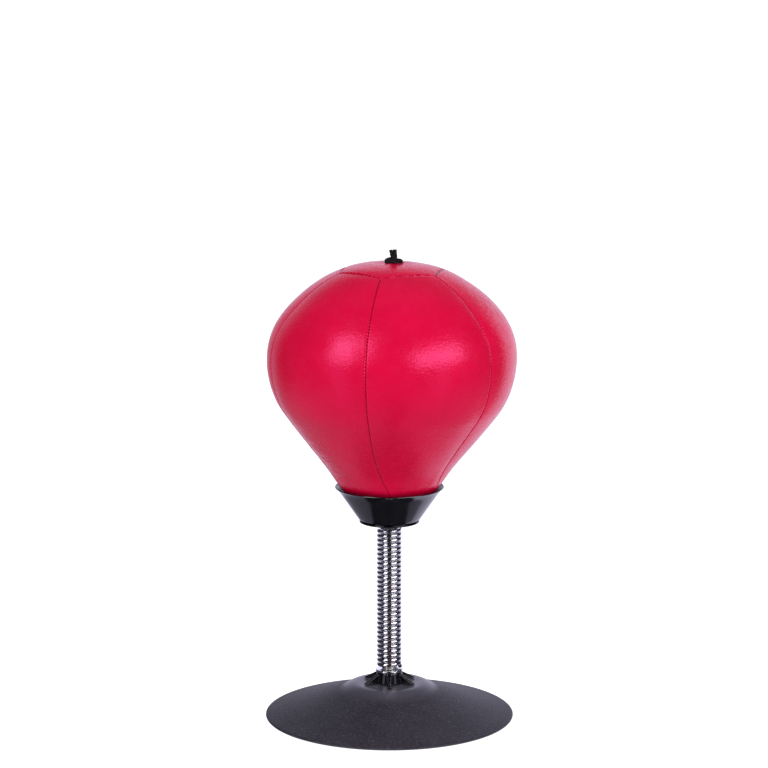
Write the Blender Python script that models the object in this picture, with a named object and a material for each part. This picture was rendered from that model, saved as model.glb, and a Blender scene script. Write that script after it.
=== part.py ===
"""A desktop punching ball: a laced leather ball in a cup, on a coil spring that stands on a suction cup.

Metres, +Z up. The origin is the middle of the base on the desk, and the front is -Y. Every driving size
is a named value below, and what fits to it is worked out from it. Touching pieces keep GAP between them.
"""

import math

import bmesh
import bpy
from mathutils import Matrix, Vector

MM = 0.001
GAP = 0.3 * MM
ROUND_STEPS = 40
SMALL_STEPS = 24
SHARP_ANGLE = math.radians(35)
HEX_SIDES = 6

# Suction cup: a shallow soft dish with a thick boss in the middle.
RIM_RADIUS = 75.5 * MM
RIM_EDGE = 1.3 * MM
CONTACT_WIDTH = 9.0 * MM
DISH_SAG = 0.9 * MM
DISH_STEPS = 7
BOSS_RADIUS = 26.0 * MM
BOSS_SHOULDER = 2.4 * MM
BOSS_ROUNDING = 7.0 * MM
BOSS_HEIGHT = 20.3 * MM
BOSS_THICKNESS = 7.8 * MM
RECESS_DEPTH = 2.4 * MM
RECESS_LIP = 3.7 * MM

# Clamp under the boss.
PLATE_RADIUS = 20.0 * MM
PLATE_THICKNESS = 1.5 * MM
SEAL_MARGIN = 2.2 * MM
SEAL_THICKNESS = 1.2 * MM

# Hub on the boss.
HUB_HEIGHT = 6.5 * MM
STEM_STEP = 1.5 * MM
GUSSET_COUNT = 6
GUSSET_MARGIN = 1.8 * MM
GUSSET_THICKNESS = 2.4 * MM
GUSSET_LIP = 0.6 * MM

# Bolts: one clamps the base to the lower plug, one the cup to the upper plug.
BOLT_RADIUS = 2.9 * MM
BOLT_CLEARANCE = 0.4 * MM
BASE_HEAD_OVERHANG = 2.9 * MM
BASE_HEAD_HEIGHT = 3.5 * MM
CUP_HEAD_OVERHANG = 1.9 * MM
CUP_HEAD_HEIGHT = 4.0 * MM
SOCKET_WALL = 2.0 * MM
SOCKET_DEPTH = 2.2 * MM

# Spring with its seat ring, plugs and upper washer.
SPRING_RADIUS = 7.7 * MM
WIRE_RADIUS = 1.25 * MM
SPRING_HEIGHT = 90.1 * MM
COIL_GAP = 0.37 * MM
WIRE_SIDES = 6
WIRE_STEPS = 10
SEAT_LIP = 0.7 * MM
SEAT_THICKNESS = 1.3 * MM
PLUG_HEIGHT = 9.3 * MM
PLUG_CHAMFER = 0.8 * MM
PLUG_ROOF = 1.6 * MM
UPPER_WASHER_LIP = 0.1 * MM
UPPER_WASHER_THICKNESS = 0.9 * MM
JOINT_COUNT = 8

# Cup that holds the ball.
CUP_FOOT_RADIUS = 18.2 * MM
CUP_FOOT_HEIGHT = 1.3 * MM
CUP_WALL = 1.7 * MM
CUP_FLOOR = 3.9 * MM
CUP_HEIGHT = 22.0 * MM
CUP_RIM_RADIUS = 32.9 * MM
CUP_FLARE_RADIUS = 29.0 * MM
CUP_FLARE_HEIGHT = 4.9 * MM
CUP_FLARE_STEPS = 4
CUP_FLARE_BULGE = 0.65

# Ball: a flattened dome over a longer belly that tapers straight into the cup, as deep as the taper fits.
BALL_RADIUS = 75.0 * MM
BALL_DOME = 57.2 * MM
BALL_BELLY = 63.0 * MM
PANEL_COUNT = 6
PANEL_THICKNESS = 1.6 * MM
PANEL_COLUMNS = 6
DOME_ROWS = 5
BELLY_ROWS = 4
TAPER_ROWS = 5
SEAM_TURN = math.radians(-12)
NECK_TWIST = math.radians(12)
NECK_HEX = 0.3
NECK_HEIGHT = 42.0 * MM
NECK_SPACE = 2.4 * MM
RIM_SPACE = 1.9 * MM
NECK_BEND = 1.5 * MM
TAB_MARGIN = 5.7 * MM
TOP_HEX_RADIUS = 32.5 * MM
TOP_ROWS = 4

# Clamp inside the ball.
CLAMP_SPACE = 0.8 * MM
CLAMP_THICKNESS = 1.5 * MM
LOCK_LIP = 0.6 * MM
LOCK_THICKNESS = 0.9 * MM
LOCK_SPLIT = math.radians(12)

# Bladder and its valve.
BLADDER_SPACE = 1.0 * MM
BLADDER_WALL = 1.2 * MM
BLADDER_CLEARANCE = 7.0 * MM
BLADDER_CAP = 9.0 * MM
BLADDER_ROWS = 8
VALVE_RADIUS = 3.6 * MM
VALVE_LIP = 2.4 * MM
VALVE_LENGTH = 9.0 * MM
NEEDLE_RADIUS = 0.8 * MM
VALVE_WALL = 1.0 * MM
VALVE_PLUG_LENGTH = 5.0 * MM

# Lace: one short cord down through two punched holes and tied on top.
LACE_RADIUS = 1.1 * MM
LACE_SPAN = 4.0 * MM
LACE_SIDES = 6
LACE_HOLE_SLACK = 0.4 * MM
STUB_HEIGHT = 5.0 * MM
PUMP_HOLE_RADIUS = 1.2 * MM

# Levels, from the desk up.
CEILING_Z = BOSS_HEIGHT - BOSS_THICKNESS
RECESS_Z = CEILING_Z + RECESS_DEPTH
PLATE_Z = RECESS_Z - GAP - PLATE_THICKNESS
SEAL_Z = PLATE_Z - GAP - SEAL_THICKNESS
BASE_HEAD_Z = SEAL_Z - GAP - BASE_HEAD_HEIGHT
HUB_Z = BOSS_HEIGHT + GAP
HUB_TOP = HUB_Z + HUB_HEIGHT
SEAT_Z = HUB_TOP + GAP
SPRING_Z = SEAT_Z + SEAT_THICKNESS + GAP
SPRING_TOP = SPRING_Z + SPRING_HEIGHT
UPPER_WASHER_Z = SPRING_TOP + GAP
CUP_Z = UPPER_WASHER_Z + UPPER_WASHER_THICKNESS + GAP
CUP_TOP = CUP_Z + CUP_HEIGHT
TAB_Z = CUP_Z + CUP_FLOOR + GAP
CLAMP_Z = TAB_Z + PANEL_THICKNESS + GAP
LOCK_Z = CLAMP_Z + CLAMP_THICKNESS + GAP
CUP_HEAD_Z = LOCK_Z + LOCK_THICKNESS + GAP

# Fits.
HOLE_RADIUS = BOLT_RADIUS + BOLT_CLEARANCE
CHAMBER_RADIUS = PLATE_RADIUS + GAP + RECESS_LIP
BASE_HEAD_RADIUS = BOLT_RADIUS + BASE_HEAD_OVERHANG
SEAL_RADIUS = BASE_HEAD_RADIUS + SEAL_MARGIN
HUB_RADIUS = SPRING_RADIUS
STEM_RADIUS = HUB_RADIUS - STEM_STEP
GUSSET_REACH = BOSS_RADIUS - BOSS_ROUNDING - GUSSET_MARGIN
SEAT_RADIUS = SPRING_RADIUS + SEAT_LIP
UPPER_WASHER_RADIUS = SPRING_RADIUS + UPPER_WASHER_LIP
CUP_HEAD_RADIUS = BOLT_RADIUS + CUP_HEAD_OVERHANG
SOCKET_RADIUS = CUP_HEAD_RADIUS - SOCKET_WALL
LOCK_RADIUS = CUP_HEAD_RADIUS + LOCK_LIP
VALVE_FLANGE = VALVE_RADIUS + VALVE_LIP
VALVE_PLUG_RADIUS = VALVE_RADIUS - VALVE_WALL - GAP
COIL_RADIUS = SPRING_RADIUS - WIRE_RADIUS
SPRING_TURNS = (SPRING_HEIGHT - 2 * WIRE_RADIUS) / (2 * WIRE_RADIUS + COIL_GAP)
PLUG_RADIUS = COIL_RADIUS * math.cos(math.pi / WIRE_STEPS) - WIRE_RADIUS - GAP
FLEX_LOW = SPRING_Z + PLUG_HEIGHT + GAP
FLEX_HIGH = SPRING_TOP - PLUG_HEIGHT - GAP
FLEX_STEP = (FLEX_HIGH - FLEX_LOW) / JOINT_COUNT
JOINT_HEIGHTS = [FLEX_LOW + FLEX_STEP * (i + 0.5) for i in range(JOINT_COUNT)]
SEAM_ANGLE = 2 * math.pi / PANEL_COUNT

# The cup's inner cone, and the cover's taper, which runs from the cup's floor to just inside its rim.
CUP_SLOPE = (CUP_FLARE_RADIUS - CUP_FOOT_RADIUS) / (CUP_HEIGHT - CUP_FLARE_HEIGHT - CUP_FOOT_HEIGHT)
CUP_FLOOR_RADIUS = CUP_FOOT_RADIUS - CUP_WALL + CUP_SLOPE * (CUP_FLOOR - CUP_FOOT_HEIGHT)
NECK_RADIUS = CUP_FLOOR_RADIUS - NECK_SPACE
NECK_FLAT = 1 - NECK_HEX * (1 - math.cos(SEAM_ANGLE / 2))
RIM_FIT_RADIUS = CUP_RIM_RADIUS - CUP_WALL - RIM_SPACE
TAPER_SLOPE = (RIM_FIT_RADIUS - NECK_RADIUS) / (CUP_TOP - TAB_Z)
TAB_INNER_RADIUS = HOLE_RADIUS + TAB_MARGIN
CLAMP_RADIUS = NECK_RADIUS * NECK_FLAT - PANEL_THICKNESS - CLAMP_SPACE

# The taper touches the belly's ellipse, which sets how high the ball's widest level is.
EQUATOR_Z = TAB_Z + (math.hypot(BALL_RADIUS, TAPER_SLOPE * BALL_BELLY) - NECK_RADIUS) / TAPER_SLOPE
BALL_TOP = EQUATOR_Z + BALL_DOME
BLADDER_TOP = BALL_TOP - PANEL_THICKNESS - 2 * LACE_RADIUS - 4 * GAP
BLADDER_FOOT_Z = CUP_HEAD_Z + CUP_HEAD_HEIGHT + BLADDER_CLEARANCE + BLADDER_CAP


def clear_scene():
    for obj in list(bpy.data.objects):
        bpy.data.objects.remove(obj, do_unlink=True)


def material(name, colour, roughness, metallic=0.0):
    look = bpy.data.materials.new(name)
    look.use_nodes = True
    shader = look.node_tree.nodes["Principled BSDF"]
    shader.inputs["Base Color"].default_value = (*colour, 1.0)
    shader.inputs["Roughness"].default_value = roughness
    shader.inputs["Metallic"].default_value = metallic
    return look


def body(name, height, parent=None):
    """An empty at a height on the axis, which the pieces of one moving body hang from."""
    empty = bpy.data.objects.new(name, None)
    empty["height"] = height
    if parent:
        empty.parent = parent
        height -= parent["height"]
    empty.location.z = height
    bpy.context.scene.collection.objects.link(empty)
    return empty


def piece(name, mesh, parent, look=None):
    """An object whose mesh is given in world places, with its origin on its body's empty."""
    mesh.name = name
    mesh.transform(Matrix.Translation((0, 0, -parent["height"])))
    mesh.shade_smooth()
    mesh.set_sharp_from_angle(angle=SHARP_ANGLE)
    obj = bpy.data.objects.new(name, mesh)
    if look:
        mesh.materials.append(look)
    obj.parent = parent
    bpy.context.scene.collection.objects.link(obj)
    return obj


def combine(target, tool, operation):
    """Cuts a tool from a piece, or unites the two, and keeps the tool as a hidden guide."""
    tool.hide_render = True
    tool.display_type = "WIRE"
    step = target.modifiers.new(tool.name, "BOOLEAN")
    step.object = tool
    step.operation = operation
    step.solver = "EXACT"


def mesh_of(bm):
    bmesh.ops.recalc_face_normals(bm, faces=bm.faces)
    mesh = bpy.data.meshes.new("mesh")
    bm.to_mesh(mesh)
    bm.free()
    return mesh


def join_rings(bm, low, high, closed=True):
    """Faces between two rows of vertices; a row of one vertex is a pole."""
    steps = max(len(low), len(high))
    if steps == 1:
        return
    for i in range(steps if closed else steps - 1):
        j = (i + 1) % steps
        corners = [low[i % len(low)], low[j % len(low)], high[j % len(high)], high[i % len(high)]]
        bm.faces.new(list(dict.fromkeys(corners)))


def on_circle(radius, angle, height):
    return Vector((radius * math.cos(angle), radius * math.sin(angle), height))


def turned(profile, steps=ROUND_STEPS):
    """A closed outline of (radius, height) points turned around Z."""
    bm = bmesh.new()
    rings = []
    for radius, height in profile:
        count = steps if radius > 0 else 1
        angles = [2 * math.pi * i / count for i in range(count)]
        rings.append([bm.verts.new(on_circle(radius, a, height)) for a in angles])
    for low, high in zip(rings, rings[1:] + rings[:1]):
        join_rings(bm, low, high)
    return mesh_of(bm)


def disc(radius, low, high, hole=0.0, steps=SMALL_STEPS):
    return turned([(hole, low), (radius, low), (radius, high), (hole, high)], steps)


def tube(points, radius, sides):
    """A round bar along points, with flat ends and a section that doesn't twist."""
    bm = bmesh.new()
    rings = []
    side = None
    before = 3 * points[0] - 3 * points[1] + points[2]
    after = 3 * points[-1] - 3 * points[-2] + points[-3]
    route = [before, *points, after]
    for last, point, following in zip(route, points, route[2:]):
        along = (following - last).normalized()
        side = side or along.orthogonal()
        side = (side - along * side.dot(along)).normalized()
        up = along.cross(side)
        ring = []
        for k in range(sides):
            angle = 2 * math.pi * k / sides
            ring.append(bm.verts.new(point + radius * (math.cos(angle) * side + math.sin(angle) * up)))
        rings.append(ring)
    for low, high in zip(rings, rings[1:]):
        join_rings(bm, low, high)
    bm.faces.new(rings[0])
    bm.faces.new(rings[-1])
    return mesh_of(bm)


def smooth_path(points, steps=4):
    """A Catmull-Rom curve through points."""
    ends = [2 * points[0] - points[1], *points, 2 * points[-1] - points[-2]]
    path = []
    for a, b, c, d in zip(ends, ends[1:], ends[2:], ends[3:]):
        for i in range(steps):
            t = i / steps
            bow = (2 * a - 5 * b + 4 * c - d) * t**2 + (3 * b - a - 3 * c + d) * t**3
            path.append(0.5 * (2 * b + (c - a) * t + bow))
    return [*path, points[-1]]


# The base.


def dish_height(radius):
    """Height of the dish's upper face between the boss and the rim."""
    share = (radius - BOSS_RADIUS) / (RIM_RADIUS - BOSS_RADIUS)
    top = BOSS_HEIGHT - BOSS_SHOULDER
    return top + (RIM_EDGE - top) * share - 4 * DISH_SAG * share * (1 - share)


def make_suction_cup(parent, look):
    bore = STEM_RADIUS + GAP
    recess = PLATE_RADIUS + GAP
    shoulder = [
        (BOSS_RADIUS - BOSS_ROUNDING * (1 - math.sin(a)), BOSS_HEIGHT - BOSS_SHOULDER * (1 - math.cos(a)))
        for a in (0, math.pi / 6, math.pi / 3)
    ]
    radii = [BOSS_RADIUS + (RIM_RADIUS - BOSS_RADIUS) * i / DISH_STEPS for i in range(DISH_STEPS + 1)]
    dish = [(radius, dish_height(radius)) for radius in radii]
    under = [
        (RIM_RADIUS - RIM_EDGE / 4, 0),
        (RIM_RADIUS - CONTACT_WIDTH, 0),
        (CHAMBER_RADIUS, CEILING_Z),
        (recess, CEILING_Z),
        (recess, RECESS_Z),
        (bore, RECESS_Z),
    ]
    piece("suction_cup", turned([(bore, BOSS_HEIGHT), *shoulder, *dish, *under]), parent, look)


def gusset(angle):
    """One triangular rib, from inside the post to its tip."""
    inner = (HOLE_RADIUS + HUB_RADIUS) / 2
    outline = [
        (inner, HUB_Z),
        (GUSSET_REACH, HUB_Z),
        (GUSSET_REACH, HUB_Z + GUSSET_LIP),
        (HUB_RADIUS, HUB_TOP - GUSSET_LIP),
        (inner, HUB_TOP - GUSSET_LIP),
    ]
    turn = Matrix.Rotation(angle, 3, "Z")
    sides = (-GUSSET_THICKNESS / 2, GUSSET_THICKNESS / 2)
    return [[turn @ Vector((r, side, z)) for r, z in outline] for side in sides]


def make_hub(parent, look):
    post = [
        (HOLE_RADIUS, RECESS_Z),
        (STEM_RADIUS, RECESS_Z),
        (STEM_RADIUS, HUB_Z),
        (HUB_RADIUS, HUB_Z),
        (HUB_RADIUS, HUB_TOP),
        (HOLE_RADIUS, HUB_TOP),
    ]
    hub = piece("base_hub", turned(post), parent, look)
    bm = bmesh.new()
    for i in range(GUSSET_COUNT):
        near, far = gusset(2 * math.pi * i / GUSSET_COUNT - math.pi / 2)
        near = [bm.verts.new(p) for p in near]
        far = [bm.verts.new(p) for p in far]
        join_rings(bm, near, far)
        bm.faces.new(near)
        bm.faces.new(far)
    combine(hub, piece("gusset_guide", mesh_of(bm), parent), "UNION")


def make_base_clamp(parent, steel, rubber):
    piece("clamp_plate", disc(PLATE_RADIUS, PLATE_Z, PLATE_Z + PLATE_THICKNESS, HOLE_RADIUS), parent, steel)
    piece("sealing_washer", disc(SEAL_RADIUS, SEAL_Z, SEAL_Z + SEAL_THICKNESS, HOLE_RADIUS), parent, rubber)
    shank_top = SPRING_Z + PLUG_HEIGHT - PLUG_ROOF - GAP
    shank = [(0, BASE_HEAD_Z + BASE_HEAD_HEIGHT / 2), (BOLT_RADIUS, BASE_HEAD_Z + BASE_HEAD_HEIGHT / 2)]
    shank += [(BOLT_RADIUS, shank_top), (0, shank_top)]
    bolt = piece("base_bolt", turned(shank, SMALL_STEPS), parent, steel)
    head = [(0, BASE_HEAD_Z), (BASE_HEAD_RADIUS, BASE_HEAD_Z)]
    head += [(BASE_HEAD_RADIUS, BASE_HEAD_Z + BASE_HEAD_HEIGHT), (0, BASE_HEAD_Z + BASE_HEAD_HEIGHT)]
    combine(bolt, piece("base_head_guide", turned(head, HEX_SIDES), parent), "UNION")


# The spring.


def make_plug(name, seat, top, parent, look):
    """A turned plug in the spring's end: its bolt hole opens at the seat, and its far end is chamfered."""
    up = math.copysign(1, top - seat)
    roof = top - up * PLUG_ROOF
    bevel = top - up * PLUG_CHAMFER
    outline = [(0, roof), (HOLE_RADIUS, roof), (HOLE_RADIUS, seat), (PLUG_RADIUS, seat)]
    outline += [(PLUG_RADIUS, bevel), (PLUG_RADIUS - PLUG_CHAMFER, top), (0, top)]
    piece(name, turned(outline, SMALL_STEPS), parent, look)


def wire_point(turn):
    height = SPRING_Z + WIRE_RADIUS + (2 * WIRE_RADIUS + COIL_GAP) * turn
    return on_circle(COIL_RADIUS, 2 * math.pi * turn, height)


def turn_at(height):
    return (height - SPRING_Z - WIRE_RADIUS) / (2 * WIRE_RADIUS + COIL_GAP)


def make_spring(parents, look):
    """One length of the wire for each link of the bending chain."""
    gap_turns = GAP / (2 * math.pi * COIL_RADIUS)
    ends = [0.0, *[turn_at(height) for height in JOINT_HEIGHTS], SPRING_TURNS + gap_turns]
    for i, parent in enumerate(parents):
        first, last = ends[i], ends[i + 1] - gap_turns
        steps = round((last - first) * WIRE_STEPS)
        path = [wire_point(first + (last - first) * k / steps) for k in range(steps + 1)]
        piece(f"spring_{i + 1}", tube(path, WIRE_RADIUS, WIRE_SIDES), parent, look)


# The cup and what clamps the ball into it.


def cup_wall(offset):
    """The cone and flare of the cup, moved inward by offset, from the foot up."""
    foot = CUP_Z + CUP_FOOT_HEIGHT
    flare = CUP_TOP - CUP_FLARE_HEIGHT
    wall = [(CUP_FOOT_RADIUS - offset, foot)]
    for i in range(CUP_FLARE_STEPS + 1):
        angle = math.pi / 2 * i / CUP_FLARE_STEPS
        radius = CUP_FLARE_RADIUS + (CUP_RIM_RADIUS - CUP_FLARE_RADIUS) * math.sin(angle)
        wall.append((radius - offset, flare + CUP_FLARE_HEIGHT * (1 - math.cos(angle)) ** CUP_FLARE_BULGE))
    return wall


def make_cup(parent, look):
    floor = CUP_Z + CUP_FLOOR
    outline = [(HOLE_RADIUS, CUP_Z), (CUP_FOOT_RADIUS, CUP_Z), *cup_wall(0)]
    outline += reversed(cup_wall(CUP_WALL)[1:])
    outline += [(CUP_FLOOR_RADIUS, floor), (HOLE_RADIUS, floor)]
    piece("ball_cup", turned(outline), parent, look)


def lock_washer_mesh():
    """A flat ring with one slit."""
    bm = bmesh.new()
    rows = []
    top = LOCK_Z + LOCK_THICKNESS
    section = [(HOLE_RADIUS, LOCK_Z), (LOCK_RADIUS, LOCK_Z), (LOCK_RADIUS, top), (HOLE_RADIUS, top)]
    for i in range(SMALL_STEPS + 1):
        angle = LOCK_SPLIT / 2 + (2 * math.pi - LOCK_SPLIT) * i / SMALL_STEPS
        rows.append([bm.verts.new(on_circle(radius, angle, height)) for radius, height in section])
    for low, high in zip(rows, rows[1:]):
        join_rings(bm, low, high)
    bm.faces.new(rows[0])
    bm.faces.new(rows[-1])
    return mesh_of(bm)


def make_cup_clamp(parent, steel):
    piece("clamp_disc", disc(CLAMP_RADIUS, CLAMP_Z, CLAMP_Z + CLAMP_THICKNESS, HOLE_RADIUS), parent, steel)
    piece("lock_washer", lock_washer_mesh(), parent, steel)
    tip = SPRING_TOP - PLUG_HEIGHT + PLUG_ROOF + GAP
    head_top = CUP_HEAD_Z + CUP_HEAD_HEIGHT
    outline = [(0, tip), (BOLT_RADIUS, tip), (BOLT_RADIUS, CUP_HEAD_Z), (CUP_HEAD_RADIUS, CUP_HEAD_Z)]
    outline += [(CUP_HEAD_RADIUS, head_top), (0, head_top)]
    bolt = piece("cup_bolt", turned(outline, SMALL_STEPS), parent, steel)
    socket = [(0, head_top - SOCKET_DEPTH), (SOCKET_RADIUS, head_top - SOCKET_DEPTH)]
    socket += [(SOCKET_RADIUS, head_top + MM), (0, head_top + MM)]
    combine(bolt, piece("socket_guide", turned(socket, HEX_SIDES), parent), "DIFFERENCE")


# The ball's cover.


def dome_point(angle):
    """Radius, height and outward direction on the dome, at an angle over the equator."""
    radius, height = BALL_RADIUS * math.cos(angle), EQUATOR_Z + BALL_DOME * math.sin(angle)
    normal = Vector((BALL_DOME * math.cos(angle), BALL_RADIUS * math.sin(angle))).normalized()
    return radius, height, normal


def belly_point(angle):
    """The same below the equator, down to where the straight taper touches the belly."""
    radius, height = BALL_RADIUS * math.cos(angle), EQUATOR_Z - BALL_BELLY * math.sin(angle)
    normal = Vector((BALL_BELLY * math.cos(angle), -BALL_RADIUS * math.sin(angle))).normalized()
    return radius, height, normal


def taper_angle():
    """Angle on the belly's ellipse where a line from the neck touches it."""
    return math.atan2(TAPER_SLOPE * BALL_BELLY, BALL_RADIUS)


def neck_rows():
    """The tab that lies on the cup's floor, the bend, and the straight taper up to the belly."""
    touch_radius, touch_height, touch_normal = belly_point(taper_angle())
    along = Vector((touch_radius - NECK_RADIUS, touch_height - TAB_Z))
    down = Vector((0, -1))
    rows = [(TAB_INNER_RADIUS, TAB_Z, down), (NECK_RADIUS - NECK_BEND, TAB_Z, down)]
    bend = Vector((NECK_RADIUS, TAB_Z)) + along.normalized() * NECK_BEND
    rows.append((bend.x, bend.y, touch_normal))
    for i in range(1, TAPER_ROWS):
        point = bend.lerp(Vector((touch_radius, touch_height)), i / TAPER_ROWS)
        rows.append((point.x, point.y, touch_normal))
    return rows


def top_edge(offset):
    """Radius of the top hexagon's side at an angle from the middle of a side."""
    return TOP_HEX_RADIUS * math.cos(SEAM_ANGLE / 2) / math.cos(offset)


def neck_share(height):
    """1 at the cup's rim and below, falling to 0 where the neck has become the round belly."""
    rise = min(max((height - CUP_TOP) / NECK_HEIGHT, 0.0), 1.0)
    return (1 - rise) ** 3


def seam_point(radius, height, offset, middle):
    """A point of a panel, drawn in between the seams and turned with the neck."""
    share = neck_share(height)
    flat = math.cos(SEAM_ANGLE / 2) / math.cos(offset)
    radius *= 1 - NECK_HEX * share * (1 - flat)
    return on_circle(radius, middle + offset + NECK_TWIST * share, height)


def panel_mesh(index):
    middle = SEAM_TURN - math.pi / 2 + SEAM_ANGLE * (index + 0.5)
    bm = bmesh.new()
    grids = {0.0: [], PANEL_THICKNESS: []}
    fixed = neck_rows() + [belly_point(taper_angle() * (1 - i / BELLY_ROWS)) for i in range(BELLY_ROWS)]
    for depth, grid in grids.items():
        for row in range(len(fixed) + DOME_ROWS + 1):
            line = []
            for column in range(PANEL_COLUMNS + 1):
                share = 2 * column / PANEL_COLUMNS - 1
                if row < len(fixed):
                    radius, height, normal = fixed[row]
                else:
                    edge = math.acos((top_edge(share * SEAM_ANGLE / 2) + GAP / 2) / BALL_RADIUS)
                    radius, height, normal = dome_point(edge * (row - len(fixed)) / DOME_ROWS)
                radius, height = radius - depth * normal.x, height - depth * normal.y
                offset = share * (SEAM_ANGLE / 2 - math.asin(GAP / 2 / radius))
                line.append(bm.verts.new(seam_point(radius, height, offset, middle)))
            grid.append(line)
        for low, high in zip(grid, grid[1:]):
            join_rings(bm, low, high, closed=False)
    outer, inner = grids.values()
    join_rings(bm, outer[0], inner[0], closed=False)
    join_rings(bm, outer[-1], inner[-1], closed=False)
    for column in (0, -1):
        join_rings(bm, [line[column] for line in outer], [line[column] for line in inner], closed=False)
    return mesh_of(bm)


def top_panel_mesh():
    """The hexagonal panel, domed like the ball."""
    steps = PANEL_COUNT * PANEL_COLUMNS
    bm = bmesh.new()
    faces = []
    for depth in (0.0, PANEL_THICKNESS):
        rings = [[bm.verts.new((0, 0, BALL_TOP - depth))]]
        for row in range(1, TOP_ROWS + 1):
            ring = []
            for i in range(steps):
                offset = (i % PANEL_COLUMNS / PANEL_COLUMNS - 0.5) * SEAM_ANGLE
                across = (top_edge(offset) - GAP / 2) * row / TOP_ROWS
                radius, height, normal = dome_point(math.acos(across / BALL_RADIUS))
                radius, height = radius - depth * normal.x, height - depth * normal.y
                angle = SEAM_TURN - math.pi / 2 + SEAM_ANGLE * i / PANEL_COLUMNS
                ring.append(bm.verts.new(on_circle(radius, angle, height)))
            rings.append(ring)
        for low, high in zip(rings, rings[1:]):
            join_rings(bm, low, high)
        faces.append(rings[-1])
    join_rings(bm, *faces)
    return mesh_of(bm)


def make_cover(parent, look):
    for index in range(PANEL_COUNT):
        piece(f"cover_panel_{index + 1}", panel_mesh(index), parent, look)
    top = piece("cover_top_panel", top_panel_mesh(), parent, look)
    low, high = BALL_TOP - 4 * PANEL_THICKNESS, BALL_TOP + PANEL_THICKNESS
    punch = LACE_RADIUS + LACE_HOLE_SLACK
    holes = [("left", -LACE_SPAN, punch), ("right", LACE_SPAN, punch), ("pump", 0, PUMP_HOLE_RADIUS)]
    for name, place, radius in holes:
        cutter = disc(radius, low, high, steps=SMALL_STEPS // 2)
        cutter.transform(Matrix.Translation((place, 0, 0)))
        combine(top, piece(f"{name}_hole_guide", cutter, parent), "DIFFERENCE")


# The bladder, its valve and the lace.


def bladder_outline(inset):
    """The bladder's wall from the valve hole over the belly to its foot, moved inward by inset."""
    space = PANEL_THICKNESS + BLADDER_SPACE + inset
    outline = []
    top = BLADDER_TOP - inset
    wide = BALL_RADIUS - space
    start = math.acos((VALVE_RADIUS + GAP) / wide)
    for i in range(BLADDER_ROWS):
        angle = start * (1 - i / BLADDER_ROWS)
        outline.append((wide * math.cos(angle), EQUATOR_Z + (top - EQUATOR_Z) * math.sin(angle)))
    touch = taper_angle()
    for i in range(BELLY_ROWS + 1):
        radius, height, normal = belly_point(touch * i / BELLY_ROWS)
        outline.append((radius - space * normal.x, height - space * normal.y))
    foot_radius = (NECK_RADIUS + TAPER_SLOPE * (BLADDER_FOOT_Z - TAB_Z)) * NECK_FLAT
    foot_radius -= space / belly_point(touch)[2].x
    cap = BLADDER_CAP - inset
    for i in range(3):
        angle = math.pi / 6 * i
        outline.append((foot_radius * math.cos(angle), BLADDER_FOOT_Z - cap * math.sin(angle)))
    return [*outline, (0, BLADDER_FOOT_Z - cap)]


def make_bladder(parent, look):
    outline = [*bladder_outline(0), *reversed(bladder_outline(BLADDER_WALL))]
    piece("bladder", turned(outline, SMALL_STEPS), parent, look)


def make_valve(parent, body_look, plug_look):
    top = BLADDER_TOP + GAP
    flange = BLADDER_TOP - BLADDER_WALL - 2 * GAP
    under = flange - BLADDER_WALL
    low = top - VALVE_LENGTH
    bore = VALVE_PLUG_RADIUS + GAP
    shelf = low + VALVE_PLUG_LENGTH + GAP
    outline = [(NEEDLE_RADIUS, top), (VALVE_RADIUS, top), (VALVE_RADIUS, flange), (VALVE_FLANGE, flange)]
    outline += [(VALVE_FLANGE, under), (VALVE_RADIUS, under), (VALVE_RADIUS, low)]
    outline += [(bore, low), (bore, shelf), (NEEDLE_RADIUS, shelf)]
    piece("valve_body", turned(outline, SMALL_STEPS), parent, body_look)
    plug = disc(VALVE_PLUG_RADIUS, low, low + VALVE_PLUG_LENGTH, NEEDLE_RADIUS / 2, SMALL_STEPS // 2)
    piece("valve_plug", plug, parent, plug_look)


def make_lace(parent, look):
    """One cord: down through both holes, under the panel, and its ends crossed and turned up on top."""
    over = BALL_TOP + GAP + LACE_RADIUS
    under = BALL_TOP - PANEL_THICKNESS - 2 * GAP - LACE_RADIUS
    apart = LACE_RADIUS + GAP
    tip = over + LACE_RADIUS + STUB_HEIGHT
    half = [
        (apart, -apart / 2, tip),
        (apart, -apart, over + 3 * LACE_RADIUS),
        (apart, -apart, over + LACE_RADIUS / 2),
        (-apart, -apart, over),
        (-LACE_SPAN, -apart / 2, over),
        (-LACE_SPAN, 0, over - 2 * LACE_RADIUS),
        (-LACE_SPAN, 0, under + LACE_RADIUS),
        (-LACE_SPAN + LACE_RADIUS, 0, under),
    ]
    route = half + [(0, 0, under)] + [(-x, -y, z) for x, y, z in reversed(half)]
    piece("lace", tube(smooth_path([Vector(p) for p in route]), LACE_RADIUS, LACE_SIDES), parent, look)


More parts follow.
